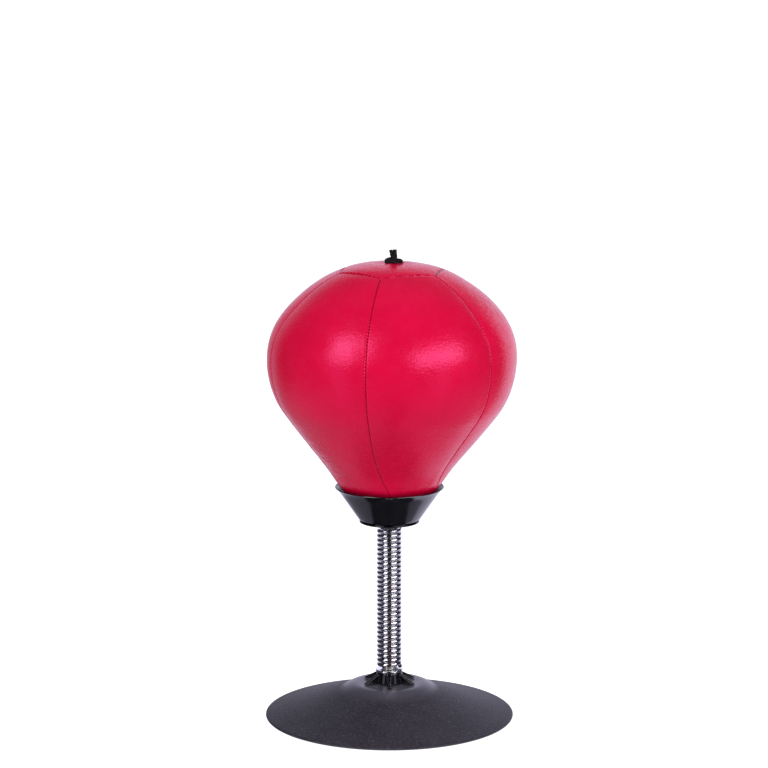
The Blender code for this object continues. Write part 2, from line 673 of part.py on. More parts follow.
def build():
    clear_scene()
    soft_black = material("suction_cup_pvc", (0.035, 0.036, 0.045), 0.55)
    gloss_black = material("hub_plastic", (0.012, 0.012, 0.014), 0.2)
    steel = material("zinc_plated_steel", (0.55, 0.55, 0.56), 0.35, 1.0)
    chrome = material("chrome", (0.86, 0.87, 0.89), 0.08, 1.0)
    rubber = material("black_rubber", (0.03, 0.03, 0.03), 0.7)
    leather = material("red_leather", (0.72, 0.012, 0.07), 0.38)
    latex = material("bladder_rubber", (0.55, 0.42, 0.3), 0.6)
    cord = material("lace_cord", (0.012, 0.012, 0.012), 0.75)

    rim = body("rim_frame", 0.0)
    hub = body("hub_frame", BOSS_HEIGHT, rim)
    links = [hub]
    for i, height in enumerate(JOINT_HEIGHTS):
        name = f"link_{i + 1}_frame" if i < JOINT_COUNT - 1 else "head_frame"
        links.append(body(name, height, links[-1]))
    head = links[-1]

    make_suction_cup(rim, soft_black)
    make_hub(hub, gloss_black)
    make_base_clamp(hub, steel, rubber)
    seat = disc(SEAT_RADIUS, SEAT_Z, SEAT_Z + SEAT_THICKNESS, HOLE_RADIUS, ROUND_STEPS)
    piece("spring_seat_ring", seat, hub, chrome)
    make_plug("lower_spring_plug", SPRING_Z, SPRING_Z + PLUG_HEIGHT, hub, steel)
    make_spring(links, chrome)
    make_plug("upper_spring_plug", SPRING_TOP, SPRING_TOP - PLUG_HEIGHT, head, steel)
    washer_top = UPPER_WASHER_Z + UPPER_WASHER_THICKNESS
    piece("upper_washer", disc(UPPER_WASHER_RADIUS, UPPER_WASHER_Z, washer_top, HOLE_RADIUS), head, chrome)
    make_cup(head, gloss_black)
    make_cup_clamp(head, steel)
    make_cover(head, leather)
    make_bladder(head, latex)
    make_valve(head, rubber, latex)
    make_lace(head, cord)


build()
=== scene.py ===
"""Looks of the desktop punching ball: leather cover, lace, cup, coil spring, hub and suction cup.

Metres, in the CAD's frame: +Z up, the front is -Y. Places come from the CAD nodes' boxes.
"""

import math

import bmesh
import bpy
from mathutils import Matrix, Vector, noise


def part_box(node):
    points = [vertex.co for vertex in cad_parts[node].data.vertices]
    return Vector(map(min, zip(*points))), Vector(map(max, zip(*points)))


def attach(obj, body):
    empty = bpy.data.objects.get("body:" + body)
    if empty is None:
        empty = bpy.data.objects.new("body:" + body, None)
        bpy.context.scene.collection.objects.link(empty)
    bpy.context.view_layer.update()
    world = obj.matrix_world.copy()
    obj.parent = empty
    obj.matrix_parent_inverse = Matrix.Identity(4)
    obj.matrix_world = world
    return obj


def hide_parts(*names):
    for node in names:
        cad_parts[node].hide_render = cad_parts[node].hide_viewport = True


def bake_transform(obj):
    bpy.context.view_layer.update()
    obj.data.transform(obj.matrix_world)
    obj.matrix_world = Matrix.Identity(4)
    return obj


MM = 0.001

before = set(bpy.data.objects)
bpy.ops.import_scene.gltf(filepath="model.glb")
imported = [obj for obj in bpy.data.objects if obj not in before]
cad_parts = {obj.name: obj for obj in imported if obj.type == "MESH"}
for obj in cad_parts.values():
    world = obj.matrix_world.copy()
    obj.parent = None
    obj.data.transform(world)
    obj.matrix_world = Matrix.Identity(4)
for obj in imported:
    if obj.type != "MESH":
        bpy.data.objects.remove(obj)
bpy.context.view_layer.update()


def top_of(node):
    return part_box(node)[1].z


def foot_of(node):
    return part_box(node)[0].z


def reach_of(node):
    """A round node's radius about the axis."""
    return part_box(node)[1].x


# Suction cup.
RIM_RADIUS = reach_of("suction_cup")
BOSS_TOP = top_of("suction_cup")
RIM_EDGE = 1.3 * MM
CONTACT_WIDTH = 9.0 * MM
DISH_SAG = 0.9 * MM
BOSS_RADIUS = 26.0 * MM
BOSS_SHOULDER = 2.4 * MM
BOSS_ROUNDING = 10.0 * MM
BOSS_FLOW = 4.5 * MM
STEM_RADIUS = 6.2 * MM
PLATE_GAP = 0.3 * MM
RECESS_LIP = 3.7 * MM
RECESS_DEPTH = 2.4 * MM
DISH_STEPS = 176
SHOULDER_STEPS = 24
MARK_RADII = (36.0 * MM, 47.0 * MM)
MARK_DEPTH = 0.03 * MM
MARK_WIDTH = 0.35 * MM

# Hub.
HUB_FOOT = BOSS_TOP + PLATE_GAP
HUB_TOP = top_of("base_hub")
HUB_RADIUS = 7.7 * MM
BOLT_HOLE = 3.3 * MM
GUSSET_COUNT = 6
GUSSET_REACH = -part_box("base_hub")[0].y
GUSSET_THICKNESS = 2.4 * MM
GUSSET_LIP = 0.6 * MM
HUB_VOXEL = 0.24 * MM

# Spring.
SPRING_FOOT = foot_of("spring_1")
SPRING_TOP = top_of("spring_9")
SPRING_RADIUS = 7.7 * MM
WIRE_RADIUS = 1.25 * MM
COIL_RADIUS = SPRING_RADIUS - WIRE_RADIUS
WIRE_PITCH = 2.87 * MM
WIRE_SIDES = 18
WIRE_STEPS = 44
PLUG_HEIGHT = 9.6 * MM
LINKS = ["hub", *[f"link_{i}" for i in range(1, 8)], "head"]

# Ball cup.
CUP_FOOT = foot_of("ball_cup")
CUP_TOP = top_of("ball_cup")
CUP_RIM_RADIUS = reach_of("ball_cup")
CUP_FOOT_RADIUS = 18.2 * MM
CUP_LIP = 1.3 * MM
CUP_WALL = 1.7 * MM
CUP_FLOOR = 3.9 * MM
CUP_FLARE_RADIUS = 29.0 * MM
CUP_FLARE_HEIGHT = 4.9 * MM
CUP_EDGE = 0.9 * MM

# Leather cover.
BALL_TOP = top_of("cover_top_panel")
BALL_DOME = 57.2 * MM
BALL_BELLY = 63.0 * MM
BALL_RADIUS = 75.0 * MM
EQUATOR_Z = BALL_TOP - BALL_DOME
PANEL_COUNT = 6
PANEL_THICKNESS = 1.6 * MM
LEATHER_DEPTH = 0.8 * PANEL_THICKNESS
SEAM_ANGLE = 2 * math.pi / PANEL_COUNT
SEAM_TURN = math.radians(-12)
NECK_TWIST = math.radians(12)
NECK_HEX = 0.3
NECK_SWELL = 1.5 * MM
NECK_SWELL_RISE = 2.0 * MM
NECK_SWELL_REACH = 7.0 * MM
NECK_HEIGHT = 42.0 * MM
NECK_RADIUS = 15.88 * MM
TAPER_SLOPE = 0.754
TAB_Z = foot_of("cover_panel_1")
TAB_INNER_RADIUS = 9.0 * MM
NECK_BEND = 1.5 * MM
TOP_HEX_RADIUS = 32.5 * MM
TOP_HEX_BOW = 0.4
BALL_SHOULDER = 0.6 * MM
BALL_LEAN = 1.4 * MM
SEAM_GAP = 0.03 * MM
SEAM_ROLL = 0.85 * MM
SEAM_PINCH = 0.6 * MM
SEAM_PINCH_WIDTH = 9.0 * MM
TOP_PINCH = 0.1
SEAM_SHADE = 1.1 * MM
SEAM_CALM = 5.0 * MM
STITCH_PITCH = 2.1 * MM
STITCH_HALF = 0.85 * MM
STITCH_BOW = 0.35 * MM
THREAD_RADIUS = 0.17 * MM
THREAD_SIDES = 6
THREAD_STEPS = 4
PANEL_COLUMNS = 44
ROW_STEP = 1.0 * MM
DOME_LENGTH = 62.0 * MM

# Lace.
LACE_RADIUS = 1.1 * MM
LACE_SPAN = 3.9 * MM
LACE_SHIFT = 1.2 * MM
LACE_SIDES = 14
DIMPLE_DEPTH = 0.6 * MM
DIMPLE_RADIUS = 6.5 * MM

ROUND_STEPS = 160
SHARP_ANGLE = math.radians(38)


# Materials.


class Nodes:
    """A node tree, and short ways to add to it."""

    def __init__(self, tree):
        self.tree = tree

    def node(self, kind, inputs=None, **settings):
        node = self.tree.nodes.new(kind)
        for setting, value in settings.items():
            setattr(node, setting, value)
        for socket, value in (inputs or {}).items():
            if isinstance(value, bpy.types.NodeSocket):
                self.tree.links.new(value, node.inputs[socket])
            else:
                node.inputs[socket].default_value = value
        return node

    def math(self, operation, first, second=0.0, clamp=False):
        inputs = {0: first, 1: second}
        return self.node("ShaderNodeMath", inputs, operation=operation, use_clamp=clamp).outputs[0]

    def spread(self, value, low, high, out_low=0.0, out_high=1.0):
        inputs = {"Value": value, "From Min": low, "From Max": high, "To Min": out_low, "To Max": out_high}
        return self.node("ShaderNodeMapRange", inputs, interpolation_type="SMOOTHSTEP").outputs[0]

    def blend(self, share, first, second):
        """Mixes two colours, each an RGB triple or another node's colour."""
        node = self.node("ShaderNodeMix", {"Factor": share}, data_type="RGBA")
        for socket, colour in ((6, first), (7, second)):
            if isinstance(colour, bpy.types.NodeSocket):
                self.tree.links.new(colour, node.inputs[socket])
            else:
                node.inputs[socket].default_value = (*colour, 1)
        return node.outputs[2]


class Look(Nodes):
    """A Principled material and the nodes that feed it."""

    def __init__(self, name, **sockets):
        self.material = bpy.data.materials.new(name)
        self.material.use_nodes = True
        super().__init__(self.material.node_tree)
        self.shader = self.tree.nodes["Principled BSDF"]
        for socket, value in sockets.items():
            self.shader.inputs[socket.replace("_", " ")].default_value = value

    def object_place(self, scale=(1, 1, 1)):
        place = self.node("ShaderNodeTexCoord").outputs["Object"]
        return self.node("ShaderNodeMapping", {"Vector": place, "Scale": scale}).outputs[0]

    def surface_place(self, scale=(1, 1, 1)):
        """Metres around and along a leather panel, from its UV map."""
        place = self.node("ShaderNodeUVMap", uv_map="panel").outputs[0]
        return self.node("ShaderNodeMapping", {"Vector": place, "Scale": scale}).outputs[0]

    def noise(self, place, scale, detail=4.0, roughness=0.55):
        inputs = {"Vector": place, "Scale": scale, "Detail": detail, "Roughness": roughness}
        return self.node("ShaderNodeTexNoise", inputs).outputs[0]

    def cells(self, place, scale, feature="F1"):
        node = self.node("ShaderNodeTexVoronoi", {"Vector": place, "Scale": scale}, feature=feature)
        return node.outputs["Distance"]

    def attribute(self, name):
        return self.node("ShaderNodeAttribute", attribute_name=name).outputs["Fac"]

    def bump(self, height, strength, distance, below=None):
        inputs = {"Height": height, "Strength": strength, "Distance": distance}
        if below:
            inputs["Normal"] = below
        return self.node("ShaderNodeBump", inputs).outputs[0]

    def set(self, socket, output):
        self.tree.links.new(output, self.shader.inputs[socket])


def leather_look():
    look = Look("red_leather", Specular_IOR_Level=0.9, Coat_Weight=0.0)
    look.shader.inputs["Specular Tint"].default_value = (0.9, 0.17, 0.5, 1)
    place = look.surface_place()
    cloud = look.noise(place, 22, 3)
    speck = look.noise(place, 900, 2)
    colour = look.blend(look.spread(cloud, 0.3, 0.7), (0.66, 0.0014, 0.039), (0.74, 0.002, 0.048))
    colour = look.blend(look.spread(speck, 0.35, 0.75, 0, 0.25), colour, (0.55, 0.003, 0.03))
    # Painted shade: the leather's colour is darkened towards each seam, standing in for the shade in the seam's
    # groove.
    seam = look.attribute("seam_near")
    colour = look.blend(look.spread(seam, 0.45, 1.0, 0, 0.6), colour, (0.4, 0.001, 0.014))
    look.set("Base Color", colour)
    look.set("Roughness", look.spread(look.noise(place, 130, 5), 0.25, 0.8, 0.21, 0.31))
    grain = look.math("MULTIPLY", look.cells(place, 820), 0.5)
    grain = look.math("ADD", grain, look.math("MULTIPLY", look.noise(place, 1500, 3), 0.5))
    normal = look.bump(grain, 0.3, 0.12 * MM)
    folds = look.noise(look.surface_place((0.55, 1.0, 1.0)), 620, 3, 0.6)
    normal = look.bump(folds, 0.65, 0.24 * MM, normal)
    crinkle_place = look.surface_place((0.22, 1.0, 1.0))
    crinkle = look.math("MULTIPLY", look.noise(crinkle_place, 420, 3), look.attribute("crinkle"))
    normal = look.bump(crinkle, 1.0, 0.9 * MM, normal)
    along = look.node("ShaderNodeSeparateXYZ", {0: look.surface_place()}).outputs[1]
    stitch = look.math("SINE", look.math("MULTIPLY", along, 2 * math.pi / STITCH_PITCH))
    pucker = look.math("MULTIPLY", stitch, look.math("POWER", seam, 1.5))
    normal = look.bump(pucker, 0.8, 0.12 * MM, normal)
    look.set("Normal", normal)
    return look.material


def thread_look():
    look = Look("seam_thread", Roughness=0.6, Sheen_Weight=0.3)
    place = look.object_place()
    twist = look.noise(place, 2500, 3)
    look.set("Base Color", look.blend(twist, (0.35, 0.002, 0.015), (0.6, 0.008, 0.05)))
    look.set("Normal", look.bump(twist, 0.5, 0.1 * MM))
    return look.material


def gloss_black_look(name, roughness, tone, ior):
    look = Look(name, IOR=ior, Specular_IOR_Level=0.8)
    place = look.object_place()
    cloud = look.noise(place, 60, 4)
    look.set("Base Color", look.blend(look.spread(cloud, 0.3, 0.7), tone, [1.6 * t for t in tone]))
    scuff = look.spread(look.noise(look.object_place((1, 1, 6)), 260, 5, 0.7), 0.35, 0.8)
    look.set("Roughness", look.math("ADD", look.math("MULTIPLY", scuff, 0.12), roughness))
    flow = look.noise(look.object_place((1, 1, 3)), 150, 2)
    look.set("Normal", look.bump(flow, 0.12, 0.25 * MM))
    return look.material


def pvc_look():
    """Soft PVC: spark-textured on the dish, smooth on the boss, with two rubbed rings."""
    look = Look("suction_cup_pvc", Specular_IOR_Level=0.8)
    place = look.object_place()
    grain = look.attribute("grain")
    fine = look.noise(place, 780, 4, 0.7)
    pits = look.cells(place, 700)
    cloud = look.noise(place, 45, 4)
    dark = look.blend(look.spread(cloud, 0.3, 0.7), (0.011, 0.0105, 0.019), (0.02, 0.019, 0.033))
    dark = look.blend(grain, (0.062, 0.06, 0.084), dark)
    speck = look.math("MULTIPLY", look.spread(fine, 0.5, 0.72), grain)
    colour = look.blend(look.math("MULTIPLY", speck, 0.8), dark, (0.095, 0.092, 0.135))
    rub = look.math("MULTIPLY", look.attribute("mark"), look.spread(look.noise(place, 90, 4), 0.54, 0.66))
    colour = look.blend(look.math("MULTIPLY", rub, look.spread(fine, 0.45, 0.6)), colour, (0.1, 0.1, 0.125))
    look.set("Base Color", colour)
    rough = look.spread(grain, 0, 1, 0.26, 0.5)
    look.set("Roughness", look.math("ADD", rough, look.math("MULTIPLY", cloud, 0.08)))
    texture = look.math("ADD", fine, look.math("MULTIPLY", pits, 0.7))
    height = look.math("MULTIPLY", texture, look.math("ADD", look.math("MULTIPLY", grain, 0.94), 0.06))
    look.set("Normal", look.bump(height, 0.55, 0.4 * MM))
    return look.material


def metal_look(name, tone, roughness, scale, depth):
    look = Look(name, Metallic=1.0)
    place = look.object_place((1, 1, 4))
    haze = look.noise(place, scale, 4)
    look.set("Base Color", look.blend(haze, [0.9 * t for t in tone], tone))
    look.set("Roughness", look.spread(haze, 0.25, 0.8, roughness, roughness * 2.2))
    look.set("Normal", look.bump(look.noise(place, scale * 3, 3), 0.2, depth))
    return look.material


def rubber_look(name, first, second, roughness):
    look = Look(name)
    place = look.object_place()
    look.set("Base Color", look.blend(look.noise(place, 90, 5), first, second))
    look.set("Roughness", look.spread(look.noise(place, 300, 3), 0.2, 0.8, roughness - 0.1, roughness + 0.1))
    look.set("Normal", look.bump(look.noise(place, 800, 3), 0.3, 0.2 * MM))
    return look.material


def cord_look():
    """Braided cord: two crossing sets of strands, from the UV map along and around it."""
    look = Look("lace_cord", Roughness=0.62, Specular_IOR_Level=0.2, Sheen_Weight=0.05, Sheen_Roughness=0.4)
    split = look.node("ShaderNodeSeparateXYZ", {0: look.node("ShaderNodeUVMap", uv_map="cord").outputs[0]})
    along = look.math("MULTIPLY", split.outputs[0], 2 * math.pi / (1.1 * MM))
    around = look.math("MULTIPLY", split.outputs[1], 2 * math.pi * 4)
    left = look.math("SINE", look.math("ADD", along, around))
    right = look.math("SINE", look.math("SUBTRACT", along, around))
    braid = look.math("MAXIMUM", left, right)
    fuzz = look.noise(look.object_place(), 3000, 3)
    tone = look.spread(look.math("ADD", braid, fuzz), 0.2, 1.6)
    look.set("Base Color", look.blend(tone, (0.002, 0.002, 0.003), (0.014, 0.014, 0.019)))
    look.set("Normal", look.bump(look.math("ADD", braid, fuzz), 0.8, 0.25 * MM))
    return look.material


# Mesh helpers.


def finish_mesh(name, points, faces, look):
    mesh = bpy.data.meshes.new(name)
    mesh.from_pydata(points, [], faces)
    bm = bmesh.new()
    bm.from_mesh(mesh)
    bmesh.ops.recalc_face_normals(bm, faces=bm.faces)
    bm.to_mesh(mesh)
    bm.free()
    mesh.shade_smooth()
    mesh.set_sharp_from_angle(angle=SHARP_ANGLE)
    mesh.materials.append(look)
    obj = bpy.data.objects.new(name, mesh)
    bpy.context.scene.collection.objects.link(obj)
    return obj


def ring_faces(rows, closed_rows=False, closed_columns=True):
    """Quads between rows of vertex numbers."""
    faces = []
    count = len(rows[0])
    pairs = list(zip(rows, rows[1:] + rows[:1])) if closed_rows else list(zip(rows, rows[1:]))
    for low, high in pairs:
        for i in range(count if closed_columns else count - 1):
            j = (i + 1) % count
            faces.append((low[i], low[j], high[j], high[i]))
    return faces


def curve(start, turn, end, t):
    """A point on the curve that leaves start and reaches end, both aimed at turn."""
    return (1 - t) ** 2 * start + 2 * t * (1 - t) * turn + t * t * end


def rounded(corners, steps=5):
    """An outline of (radius, height, rounding) corners with each corner turned into a curve."""
    outline = []
    for i, (radius, height, rounding) in enumerate(corners):
        here = Vector((radius, height))
        if not rounding:
            outline.append(here)
            continue
        before = Vector(corners[i - 1][:2]) - here
        after = Vector(corners[(i + 1) % len(corners)][:2]) - here
        back = min(rounding / math.tan(before.angle(after) / 2), 0.48 * before.length, 0.48 * after.length)
        start = here + before.normalized() * back
        end = here + after.normalized() * back
        outline += [curve(start, here, end, k / steps) for k in range(steps + 1)]
    return outline


def turned(name, outline, look, steps=ROUND_STEPS):
    """A closed outline turned around Z."""
    points = []
    rows = []
    for radius, height in outline:
        rows.append(range(len(points), len(points) + steps))
        for k in range(steps):
            angle = 2 * math.pi * k / steps
            points.append((radius * math.cos(angle), radius * math.sin(angle), height))
    return finish_mesh(name, points, ring_faces(rows, closed_rows=True), look)


def swept(name, path, radius, sides, look, uv=None):
    """A round bar along a path with flat ends; radius is a number or a function of the share along."""
    points = []
    rows = []
    side = None
    last = len(path) - 1
    for i, point in enumerate(path):
        along = (path[min(i + 1, last)] - path[max(i - 1, 0)]).normalized()
        side = side or along.orthogonal()
        side = (side - along * side.dot(along)).normalized()
        up = along.cross(side)
        size = radius(i / last) if callable(radius) else radius
        rows.append(range(len(points), len(points) + sides))
        for k in range(sides):
            angle = 2 * math.pi * k / sides
            points.append(point + size * (math.cos(angle) * side + math.sin(angle) * up))
    faces = ring_faces(rows)
    faces.append(tuple(rows[0]))
    faces.append(tuple(rows[-1]))
    obj = finish_mesh(name, points, faces, look)
    if uv:
        layer = obj.data.uv_layers.new(name=uv)
        lengths = [0.0]
        for a, b in zip(path, path[1:]):
            lengths.append(lengths[-1] + (b - a).length)
        for loop in obj.data.loops:
            row, column = divmod(loop.vertex_index, sides)
            layer.data[loop.index].uv = (lengths[row], column / sides)
    return obj


def add_attribute(obj, name, values):
    attribute = obj.data.attributes.new(name, "FLOAT", "POINT")
    attribute.data.foreach_set("value", values)


def apply_modifiers(obj):
    graph = bpy.context.evaluated_depsgraph_get()
    mesh = bpy.data.meshes.new_from_object(obj.evaluated_get(graph))
    obj.modifiers.clear()
    obj.data = mesh


def place(obj, body, slot, *nodes):
    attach(obj, body)
    if nodes:
        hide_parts(*nodes)
    return obj


def smoothstep(value, low, high):
    t = min(max((value - low) / (high - low), 0.0), 1.0)
    return t * t * (3 - 2 * t)


# Suction cup and hub.


def dish_height(radius):
    share = (radius - BOSS_RADIUS) / (RIM_RADIUS - BOSS_RADIUS)
    top = BOSS_TOP - BOSS_SHOULDER
    height = top + (RIM_EDGE - top) * share - 4 * DISH_SAG * share * (1 - share)
    for mark in MARK_RADII:
        height -= MARK_DEPTH * math.exp(-(((radius - mark) / MARK_WIDTH) ** 2))
    return height


def make_suction_cup(look):
    plate_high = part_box("clamp_plate")[1]
    bore = STEM_RADIUS + PLATE_GAP
    recess = plate_high.x + PLATE_GAP
    recess_top = plate_high.z + PLATE_GAP
    ceiling = recess_top - RECESS_DEPTH
    shoulder = []
    for i in range(SHOULDER_STEPS):
        radius = BOSS_RADIUS - BOSS_ROUNDING + (BOSS_ROUNDING + BOSS_FLOW) * i / SHOULDER_STEPS
        ease = smoothstep(i / SHOULDER_STEPS, 0, 1)
        shoulder.append(Vector((radius, BOSS_TOP + (dish_height(radius) - BOSS_TOP) * ease)))
    dish = []
    start = BOSS_RADIUS + BOSS_FLOW
    end = RIM_RADIUS - 0.9 * MM
    for i in range(DISH_STEPS + 1):
        radius = start + (end - start) * i / DISH_STEPS
        dish.append(Vector((radius, dish_height(radius))))
    lip = []
    for i in range(7):
        angle = math.radians(62 - 142 * i / 6)
        middle = Vector((RIM_RADIUS - RIM_EDGE / 2, RIM_EDGE / 2 + 0.02 * MM))
        lip.append(middle + RIM_EDGE / 2 * Vector((math.cos(angle), math.sin(angle))))
    under = rounded(
        [
            (RIM_RADIUS - RIM_EDGE * 0.55, 0, 0),
            (RIM_RADIUS - CONTACT_WIDTH, 0, 1.5 * MM),
            (recess + RECESS_LIP, ceiling, 2.0 * MM),
            (recess, ceiling, 0.5 * MM),
            (recess, recess_top, 0.3 * MM),
            (bore, recess_top, 0.2 * MM),
            (bore, BOSS_TOP, 0.3 * MM),
        ]
    )[1:]
    cup = turned("suction_cup_soft", [*shoulder, *dish, *lip, *under], look, 256)
    grain = []
    mark = []
    for vertex in cup.data.vertices:
        radius = math.hypot(vertex.co.x, vertex.co.y)
        upper = vertex.co.z > dish_height(max(radius, BOSS_RADIUS)) - 0.6 * MM
        grain.append(smoothstep(radius, BOSS_RADIUS - 2 * MM, BOSS_RADIUS + 7 * MM) if upper else 0.0)
        near = max(math.exp(-(((radius - m) / (1.4 * MARK_WIDTH)) ** 2)) for m in MARK_RADII)
        mark.append(near if upper else 0.0)
    add_attribute(cup, "grain", grain)
    add_attribute(cup, "mark", mark)
    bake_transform(cup)
    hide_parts("suction_cup")


def gusset_points(angle):
    inner = (BOLT_HOLE + HUB_RADIUS) / 2
    outline = [
        (inner, HUB_FOOT),
        (GUSSET_REACH, HUB_FOOT),
        (GUSSET_REACH, HUB_FOOT + GUSSET_LIP),
        (HUB_RADIUS, HUB_TOP - GUSSET_LIP),
        (inner, HUB_TOP - GUSSET_LIP),
    ]
    turn = Matrix.Rotation(angle, 3, "Z")
    sides = (-GUSSET_THICKNESS / 2, GUSSET_THICKNESS / 2)
    return [[turn @ Vector((r, side, z)) for r, z in outline] for side in sides]


def make_hub(look):
    """Post and gussets, melted together by a fine remesh and smoothed like a moulding."""
    stem_foot = foot_of("base_hub")
    post = rounded(
        [
            (BOLT_HOLE, stem_foot, 0),
            (STEM_RADIUS, stem_foot, 0.3 * MM),
            (STEM_RADIUS, HUB_FOOT, 0),
            (HUB_RADIUS + 1.2 * MM, HUB_FOOT, 0.3 * MM),
            (HUB_RADIUS, HUB_TOP, 0.3 * MM),
            (BOLT_HOLE, HUB_TOP, 0),
        ]
    )
    hub = turned("base_hub_moulding", post, look, 96)
    bm = bmesh.new()
    bm.from_mesh(hub.data)
    for i in range(GUSSET_COUNT):
        near, far = gusset_points(2 * math.pi * i / GUSSET_COUNT - math.pi / 2)
        near = [bm.verts.new(p) for p in near]
        far = [bm.verts.new(p) for p in far]
        faces = [bm.faces.new(near), bm.faces.new(far)]
        for k in range(len(near)):
            j = (k + 1) % len(near)
            faces.append(bm.faces.new([near[k], near[j], far[j], far[k]]))
        bmesh.ops.recalc_face_normals(bm, faces=faces)
    bm.to_mesh(hub.data)
    bm.free()
    melt = hub.modifiers.new("melt", "REMESH")
    melt.mode = "VOXEL"
    melt.voxel_size = HUB_VOXEL
    melt.use_smooth_shade = True
    soften = hub.modifiers.new("soften", "SMOOTH")
    soften.factor = 0.5
    soften.iterations = 5
    apply_modifiers(hub)
    hub.data.shade_smooth()
    place(hub, "hub", "hub_plastic", "base_hub")


# Spring.


def washer(name, node, hole, rounding, look, body):
    low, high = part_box(node)
    radius = high.x
    corners = [(hole, low.z), (radius, low.z), (radius, high.z), (hole, high.z)]
    outline = rounded([(*corner, rounding) for corner in corners])
    place(turned(name, outline, look), body, "chrome", node)


def wire_point(turn):
    angle = 2 * math.pi * turn
    height = SPRING_FOOT + WIRE_RADIUS + WIRE_PITCH * turn
    return Vector((COIL_RADIUS * math.cos(angle), COIL_RADIUS * math.sin(angle), height))


def wire(name, low, high, look):
    """The coil's wire between two levels of its centre line."""
    first = (low - SPRING_FOOT - WIRE_RADIUS) / WIRE_PITCH
    last = (high - SPRING_FOOT - WIRE_RADIUS) / WIRE_PITCH
    steps = round((last - first) * WIRE_STEPS)
    path = [wire_point(first + (last - first) * k / steps) for k in range(steps + 1)]
    return swept(name, path, WIRE_RADIUS, WIRE_SIDES, look)


def make_spring(look):
    """A rigid length at each end, attached to the hub and to the head, and between them one fixed length of
    wire for each joint.
    """
    flex_low = SPRING_FOOT + PLUG_HEIGHT
    flex_high = SPRING_TOP - PLUG_HEIGHT
    step = (flex_high - flex_low) / (len(LINKS) - 1)
    low_end = wire("spring_wire_foot", SPRING_FOOT + WIRE_RADIUS, flex_low, look)
    place(low_end, "hub", "chrome", "spring_1")
    for i, (below, above) in enumerate(zip(LINKS, LINKS[1:])):
        start = flex_low + step * i
        part = wire(f"spring_wire_{i + 1}", start, start + step, look)
        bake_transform(part)
        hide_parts(f"spring_{i + 2}")
    top_end = wire("spring_wire_head", flex_high, SPRING_TOP - WIRE_RADIUS, look)
    place(top_end, "head", "chrome")


# Cup.


def cup_wall(steps=16):
    """The outer cone and its flare, from the foot up to the edge."""
    foot = Vector((CUP_FOOT_RADIUS, CUP_FOOT + CUP_LIP))
    start = Vector((CUP_FLARE_RADIUS, CUP_TOP - CUP_FLARE_HEIGHT))
    end = Vector((CUP_RIM_RADIUS, CUP_TOP - CUP_EDGE / 2))
    turn = start + (start - foot).normalized() * (end - start).length * 0.6
    wall = [foot.lerp(start, i / steps) for i in range(steps)]
    return wall + [curve(start, turn, end, i / steps) for i in range(steps + 1)]


def cup_inner_wall(outer):
    """The inside of the wall, which thins towards the edge, from the edge down."""
    wall = []
    for point in reversed(outer):
        rise = smoothstep(point.y, CUP_TOP - CUP_FLARE_HEIGHT, CUP_TOP)
        wall.append(Vector((point.x - CUP_WALL + (CUP_WALL - CUP_EDGE) * rise, point.y)))
    return wall


def make_ball_cup(look):
    floor = CUP_FOOT + CUP_FLOOR
    foot = rounded(
        [
            (BOLT_HOLE, CUP_FOOT, 0.2 * MM),
            (CUP_FOOT_RADIUS, CUP_FOOT, 0.45 * MM),
            (CUP_FOOT_RADIUS, CUP_FOOT + 1.0 * MM, 0.35 * MM),
            (CUP_FOOT_RADIUS - 0.45 * MM, CUP_FOOT + CUP_LIP, 0.25 * MM),
        ]
    )
    outer = cup_wall()
    lip = []
    middle = outer[-1] - Vector((CUP_EDGE / 2, 0))
    for i in range(1, 8):
        angle = math.pi * i / 8
        lip.append(middle + CUP_EDGE / 2 * Vector((math.cos(angle), math.sin(angle))))
    inner = [point for point in cup_inner_wall(outer) if point.y > floor + 0.6 * MM]
    inside_foot = [Vector((inner[-1].x - 0.5 * MM, floor)), Vector((BOLT_HOLE, floor))]
    cup = turned("ball_cup_moulding", [*foot, *outer[1:], *lip, *inner, *inside_foot], look)
    place(cup, "head", "cup_plastic", "ball_cup")


# Leather cover.


def dome_point(angle):
    normal = Vector((BALL_DOME * math.cos(angle), BALL_RADIUS * math.sin(angle))).normalized()
    shoulder = BALL_SHOULDER * math.exp(-(((angle - 1.2) / 0.24) ** 2))
    radius = BALL_RADIUS * math.cos(angle) + shoulder * normal.x
    return radius, EQUATOR_Z + BALL_DOME * math.sin(angle) + shoulder * normal.y, normal


def lean(obj):
    """The filled cover sits a little to one side above the cup."""
    for vertex in obj.data.vertices:
        vertex.co.x += BALL_LEAN * smoothstep(vertex.co.z, CUP_TOP - 2 * MM, CUP_TOP + 60 * MM)
    return obj


def belly_point(angle):
    radius, height = BALL_RADIUS * math.cos(angle), EQUATOR_Z - BALL_BELLY * math.sin(angle)
    return radius, height, Vector((BALL_BELLY * math.cos(angle), -BALL_RADIUS * math.sin(angle))).normalized()


def facing(angle, normal):
    """A profile's outward direction, turned to an angle about the axis."""
    return Vector((math.cos(angle) * normal.x, math.sin(angle) * normal.x, normal.y))


def degrees_between(azimuth, middle):
    return (azimuth - middle + 180) % 360 - 180


def gore_angle(place):
    """The angle about the axis at a place counted in gores from the front seam."""
    return SEAM_TURN - math.pi / 2 + SEAM_ANGLE * place


def steps_for(length):
    return max(2, round(length / ROW_STEP))


